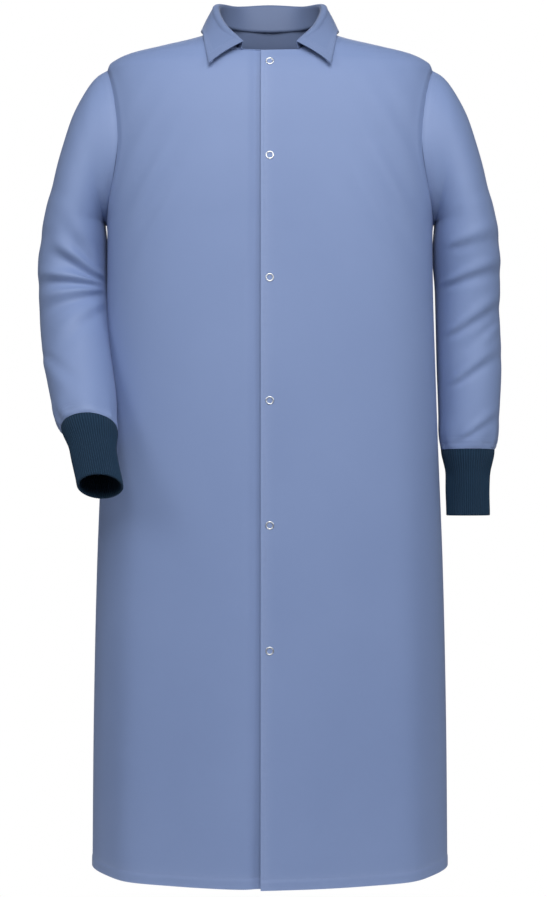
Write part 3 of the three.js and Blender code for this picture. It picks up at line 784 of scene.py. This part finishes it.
def armhole_ring(angle):
    """The seam on the body's side, seen from outside, on the wearer's left."""
    middle, reach = (ARMHOLE_TOP + UNDERARM) / 2, (ARMHOLE_TOP - UNDERARM) / 2
    y, z = -np.sin(angle) * ARMHOLE_HALF_DEPTH, middle + np.cos(angle) * reach
    half, front, back, square = smooth_table(OVAL, z).T
    depth = np.where(y < 0, front, back)
    x = half * np.maximum(0, 1 - (np.abs(y) / depth) ** square) ** (1 / square)
    return np.stack([x - 0.0004, y, z], axis=-1)


def ring_at(middle, lean, pitch, half_width, half_depth, angle):
    lean, pitch = math.radians(lean), math.radians(pitch)
    out = np.array([math.cos(lean), 0, math.sin(lean)])
    ahead = np.array([0, -math.cos(pitch), math.sin(pitch)])
    c, s = np.cos(angle)[:, None], np.sin(angle)[:, None]
    return np.array(middle) + out * c * half_width + ahead * s * half_depth


def sleeve_rings(arm):
    angle = np.arange(AROUND) / AROUND * 2 * math.pi
    rings = [armhole_ring(angle)]
    for i, (lean, reach) in enumerate(FAN):
        a, half = math.radians(lean), reach / 2
        middle = (HINGE_X + math.cos(a) * half, 0, UNDERARM + math.sin(a) * half)
        depth = ARMHOLE_HALF_DEPTH + (0.0745 - ARMHOLE_HALF_DEPTH) * (i + 1) / len(FAN)
        rings.append(ring_at(middle, lean, 0, half, depth, angle))
    for x, y, z, pitch, half_width, half_depth in arm:
        rings.append(ring_at((x, y, z), 0, pitch, half_width, half_depth, angle))
    return np.array(rings)


def down_the_sleeve(rings, rows):
    """Smooth curves through the rings, one for each place round the sleeve."""
    flat = rings.reshape(len(rings), -1)
    steps = np.linalg.norm(np.diff(rings, axis=0), axis=2).mean(axis=1)
    knots = np.concatenate([[0], np.cumsum(steps)])
    slopes = np.gradient(flat, knots, axis=0)
    at = np.linspace(0, knots[-1], rows)
    i = np.clip(np.searchsorted(knots, at, side="right") - 1, 0, len(knots) - 2)
    gap = (knots[i + 1] - knots[i])[:, None]
    t = ((at - knots[i]) / gap[:, 0])[:, None]
    path = ((1 + 2 * t) * (1 - t) ** 2 * flat[i] + t * (1 - t) ** 2 * slopes[i] * gap
            + t * t * (3 - 2 * t) * flat[i + 1] + t * t * (t - 1) * slopes[i + 1] * gap)
    return path.reshape(rows, -1, 3)


def fold_line(across, up, start, end, width, height):
    """A rounded fold along a line on the front view of a sleeve, with a valley below it."""
    (ax, az), (bx, bz) = start, end
    length = math.hypot(bx - ax, bz - az)
    dx, dz = (bx - ax) / length, (bz - az) / length
    along = ((across - ax) * dx + (up - az) * dz) / length
    beside = -(across - ax) * dz + (up - az) * dx
    spread = width * (0.55 + 0.9 * np.clip(along, 0, 1))
    window = np.clip(along / 0.22, 0, 1) * np.clip((1.12 - along) / 0.5, 0, 1)
    window = window * window * (3 - 2 * window)
    ridge = near(beside, 0, spread) - 0.75 * near(beside, -1.5 * spread, spread)
    return height * window * ridge


LEFT_FOLDS = [
    ((0.232, -0.352), (0.325, -0.312), 0.0080, 0.0030),
    ((0.238, -0.300), (0.322, -0.268), 0.0090, 0.0020),
    ((0.238, -0.424), (0.325, -0.360), 0.0075, 0.0028),
    ((0.243, -0.492), (0.322, -0.430), 0.0070, 0.0026),
    ((0.326, -0.400), (0.262, -0.470), 0.0080, 0.0014),
    ((0.258, -0.566), (0.318, -0.520), 0.0060, 0.0020),
]
RIGHT_FOLDS = [
    ((0.224, -0.346), (0.296, -0.292), 0.0075, 0.0056),
    ((0.226, -0.350), (0.322, -0.334), 0.0070, 0.0052),
    ((0.224, -0.356), (0.318, -0.372), 0.0080, 0.0046),
    ((0.228, -0.338), (0.276, -0.246), 0.0090, 0.0022),
    ((0.224, -0.372), (0.296, -0.424), 0.0090, 0.0022),
    ((0.318, -0.450), (0.262, -0.506), 0.0090, 0.0018),
]


def closed(path, normals):
    """A path round a tube, with its first point again at the end."""
    return np.concatenate([path, path[:1]]), np.concatenate([normals, normals[:1]])


def sleeve(side, arm, folds, name):
    rings = sleeve_rings(arm)[:, ::-1]  # turned so that the grid's face is outside
    grid = down_the_sleeve(rings, 230)
    x, y, z = grid[..., 0], grid[..., 1], grid[..., 2]
    middle_y = y.mean(axis=1, keepdims=True)
    in_front = 1 / (1 + np.exp((y - middle_y - 0.004) / 0.010))
    steps = np.linalg.norm(np.diff(grid, axis=0), axis=2).mean(axis=1)
    run = np.concatenate([[0], np.cumsum(steps)])[:, None]
    left = run[-1] - run
    off = np.zeros_like(x)
    for start, end, width, height in folds:
        off += fold_line(x, z, start, end, width, height) * in_front
        off += fold_line(x, z - 0.02, start, end, width * 1.4, height * 0.5) * (1 - in_front)
    angle = (np.arange(AROUND) / AROUND * 2 * math.pi)[::-1]
    gather = np.clip((0.060 - left) / 0.060, 0, 1) ** 2 * np.clip(left / 0.006, 0, 1)
    off += 0.0011 * gather * np.sin(angle * 9 + 0.7 * side + 2 * np.sin(angle * 2))
    off += 0.0010 * near(run, 0.012, 0.010) - 0.0003 * near(run, 0.0, 0.004)
    off -= 0.0006 * near(left, 0.0075, 0.0018)
    both_ends = np.clip(run / 0.15, 0, 1) * np.clip(left / 0.1, 0, 1)
    off += 0.0010 * np.sin(z * 38 + angle * 2) * both_ends
    off *= 1 - 0.9 * near(angle, math.pi, 0.35) * (run > 0.1)
    grid = grid + grid_normals(grid, wrap=True) * off[..., None]
    if side < 0:
        grid = (grid * (-1, 1, 1))[:, ::-1]
    worn = edge_wear(run - 0.004, left - 0.0075) * np.ones_like(x)
    split = int(np.argmin(np.abs(grid[..., 2].mean(axis=1) - SPLIT_Z)))
    ring = [closed(*sewn_along(grid, row=4))]
    upper = cloth_piece(name + "_sleeve_upper", grid[:split + 1], wrap=True,
                        wear_and_rib_shade=worn[:split + 1] * 0.6, stitches=ring)
    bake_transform(upper)
    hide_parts(name + "_sleeve_head", name + "_shoulder_bend")
    ring = [closed(*sewn_along(grid[split:], row=len(grid) - split - 9))]
    lower = cloth_piece(name + "_sleeve_lower", grid[split:], wrap=True,
                        wear_and_rib_shade=worn[split:] * 0.6, stitches=ring)
    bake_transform(lower)
    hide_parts(name + "_upper_sleeve", name + "_elbow_bend", name + "_forearm_sleeve")


sleeve(1, LEFT_ARM, LEFT_FOLDS, "left")
sleeve(-1, RIGHT_ARM, RIGHT_FOLDS, "right")


# ---------------------------------------------------------------------------------------
# The cuffs are navy rib knit, a tube doubled back inside itself at the mouth. They grip
# the sleeve's end, draw in below it and keep their ribs all round.
# ---------------------------------------------------------------------------------------
CUFF_LENGTH = 0.092
CUFF_TOP = 0.0745
CUFF_MOUTH = 0.060
RIBS = 62


def rib_knit():
    finish = Finish("rib_knit_navy", Sheen_Weight=0.03, Sheen_Roughness=0.5)
    finish.shader.inputs["Specular IOR Level"].default_value = 0.2
    along = finish.node("ShaderNodeUVMap", {"uv_map": "cloth"}, [])
    parts = finish.tree.nodes.new("ShaderNodeSeparateXYZ")
    finish.feed(parts.inputs[0], along)
    across, down = (Value(finish, parts.outputs[k]) for k in (0, 1))
    loops = down.wave(0.0016) * 0.5 + 0.5
    lean = (across * 2 + down).wave(0.0016) * 0.5 + 0.5
    fuzz = finish.noise(along, 1100, 3)
    # on the cuffs this attribute carries painted light on the rib crests and painted shade in the
    # grooves between them
    rise = finish.node("ShaderNodeAttribute", {"attribute_name": "wear_and_rib_shade"}, [], "Fac")
    colour = finish.mix(rise, (0.0055, 0.0190, 0.0420, 1), (0.0125, 0.0380, 0.0760, 1))
    colour = finish.mix(fuzz * 0.25, colour, (0.022, 0.058, 0.108, 1))
    finish.set("Base Color", colour)
    finish.set("Roughness", 0.86 + fuzz * 0.1)
    finish.bump(loops * 0.5 + lean * 0.4 + fuzz * 0.6, 0.5, 0.0005)
    return finish.material


navy_knit = rib_knit()


def cuff(side, end, inward, name):
    around = RIBS * 8
    angle = np.arange(around) / around * 2 * math.pi
    x, y, z, pitch = end
    tilt = math.radians(pitch)
    down = np.array([0, -math.sin(tilt), -math.cos(tilt)])
    ribs = np.cos(angle * RIBS)
    widths = [(0, CUFF_TOP / 2), (0.05, CUFF_TOP / 2 + 0.0003), (0.13, CUFF_TOP / 2 - 0.0019),
              (0.34, CUFF_MOUTH / 2 + 0.0006), (0.8, CUFF_MOUTH / 2), (1, CUFF_MOUTH / 2)]
    reach = np.linspace(0, 1, 44)
    half = np.interp(reach, *zip(*widths))
    half = np.convolve(np.pad(half, 3, "edge"), np.ones(7) / 7, "valid")
    rows, rib_crest_shading = [], []
    curl = np.linspace(0, math.pi, 9)[1:-1]
    outer = [(r * CUFF_LENGTH, h, 1) for r, h in zip(reach[:-1], half)]
    mouth = [(CUFF_LENGTH - 0.0014 + 0.0014 * math.sin(a), half[-1] - 0.0014 + 0.0014 * math.cos(a),
              math.cos(a)) for a in curl]
    inner = [(r * CUFF_LENGTH, h - 0.0028, -1) for r, h in list(zip(reach, half))[-2:0:-3]]
    for along, radius, facing_out in outer + mouth + inner:
        share = along / CUFF_LENGTH
        depth = 0.00055 * (0.55 + 0.45 * min(1, share * 5))
        wobble = 0.0007 * np.sin(angle * 3 + share * 5 + side) * math.sin(math.pi * min(1, share))
        size = radius + depth * ribs * abs(facing_out) ** 0.5 * np.sign(facing_out) + wobble
        middle = np.array([x - inward * along, y, z]) + down * along
        rows.append(ring_at(middle, 0, pitch, size[:, None], size[:, None], angle))
        # painted light on each rib's crest and painted shade in its groove
        rib_crest_shading.append(ribs * 0.5 + 0.5)
    grid, rib_crest_shading = np.array(rows)[:, ::-1], np.array(rib_crest_shading)[:, ::-1]
    if side < 0:
        grid, rib_crest_shading = (grid * (-1, 1, 1))[:, ::-1], rib_crest_shading[:, ::-1]
    made = cloth_piece(name + "_cuff_knit", grid, thickness=0.0009, wrap=True, wear_and_rib_shade=rib_crest_shading,
                       slot="rib_knit")
    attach(made, name + "_forearm")
    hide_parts(name + "_cuff")


cuff(1, (0.278, -0.007, -0.580, 3), 0, "left")
cuff(-1, (0.2405, -0.127, -0.552, 35), 0.22, "right")


# ---------------------------------------------------------------------------------------
# Six ring snaps close the front. Each is a rounded metal ring on the face, a socket behind
# the lap, and a stud on the other front that is held by a ring behind it.
# ---------------------------------------------------------------------------------------
def bright_metal():
    finish = Finish("snap_metal", Metallic=1.0, Base_Color=(0.78, 0.79, 0.80, 1))
    where = finish.node("ShaderNodeTexCoord", {}, [], "Object")
    scuffs = finish.noise(where, 1400, 3)
    finish.set("Roughness", 0.20 + scuffs * 0.22)
    finish.bump(scuffs, 0.15, 0.0001)
    return finish.material


snap_metal = bright_metal()


def turned_metal(name, profile, place, lean):
    """A ring or a disc turned round the snap's axis; the profile is (radius, depth)."""
    count = 48
    angle = np.arange(count) / count * 2 * math.pi
    points = [(r * math.cos(a), d, r * math.sin(a)) for a in angle for r, d in profile]
    size = len(profile)
    faces = []
    for k in range(count):
        n = (k + 1) % count
        for j in range(size):
            i = (j + 1) % size
            faces.append((k * size + j, n * size + j, n * size + i, k * size + i))
    mesh = bpy.data.meshes.new(name)
    mesh.from_pydata(points, [], faces)
    mesh.materials.append(snap_metal)
    mesh.validate()
    shape = bmesh.new()
    shape.from_mesh(mesh)
    bmesh.ops.remove_doubles(shape, verts=shape.verts, dist=1e-6)
    bmesh.ops.recalc_face_normals(shape, faces=shape.faces)
    for face in shape.faces:
        face.smooth = True
    shape.to_mesh(mesh)
    shape.free()
    made = bpy.data.objects.new(name, mesh)
    bpy.context.collection.objects.link(made)
    made.location = place
    made.rotation_euler = (-lean, 0, 0)
    return made


def rounded_washer(inner, outer, near_face, far_face, turns=6):
    """The profile of a washer with rounded edges on the near side."""
    radius = min((outer - inner) / 2, abs(far_face - near_face)) * 0.95
    profile = []
    for a in np.linspace(0, math.pi / 2, turns):
        profile.append((inner + radius * (1 - math.cos(a)), near_face + radius * (1 - math.sin(a))))
    for a in np.linspace(math.pi / 2, 0, turns):
        profile.append((outer - radius * (1 - math.cos(a)), near_face + radius * (1 - math.sin(a))))
    return profile + [(outer, far_face), (inner, far_face)]


def snap(number):
    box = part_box("snap_%d_front_ring" % number)
    z = (box[0][2] + box[1][2]) / 2
    half, front, _, _ = smooth_table(OVAL, np.array([z]))[0]
    above, below = smooth_table(OVAL, np.array([z + 0.01, z - 0.01]))[:, 1]
    lean = math.atan((below - above) / 0.02)
    face = -front - soft_fold(np.array([[[0.0, -front, z]]]))[0, 0]
    fold = 0.0045 * min(1, max(0, (-0.75 - z) / 0.41)) ** 2 * near(0.0, LAP_X, 0.035)
    place = (0, face - fold, z)
    parts = [
        ("front_ring", "left_front", rounded_washer(0.0037, 0.0057, -0.0011, 0.0001)),
        ("socket", "left_front", rounded_washer(0.0025, 0.0059, 0.0027, 0.0044)),
        ("stud", "right_front", [(0, 0.0030), (0.0016, 0.0030), (0.0021, 0.0034), (0.0019, 0.0044),
                                 (0.0021, 0.0049), (0.0055, 0.0049), (0.0058, 0.0052),
                                 (0.0055, 0.0056), (0, 0.0056)]),
        ("back_ring", "right_front", [(r, 0.0100 - 0.0002 - d) for r, d in
                                      rounded_washer(0.0037, 0.0057, 0.0002, 0.0012)]),
    ]
    for part, body, profile in parts:
        made = turned_metal("snap_%d_%s_metal" % (number, part), profile, place, lean)
        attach(made, body)
        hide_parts("snap_%d_%s" % (number, part))


for number in range(1, 7):
    snap(number)
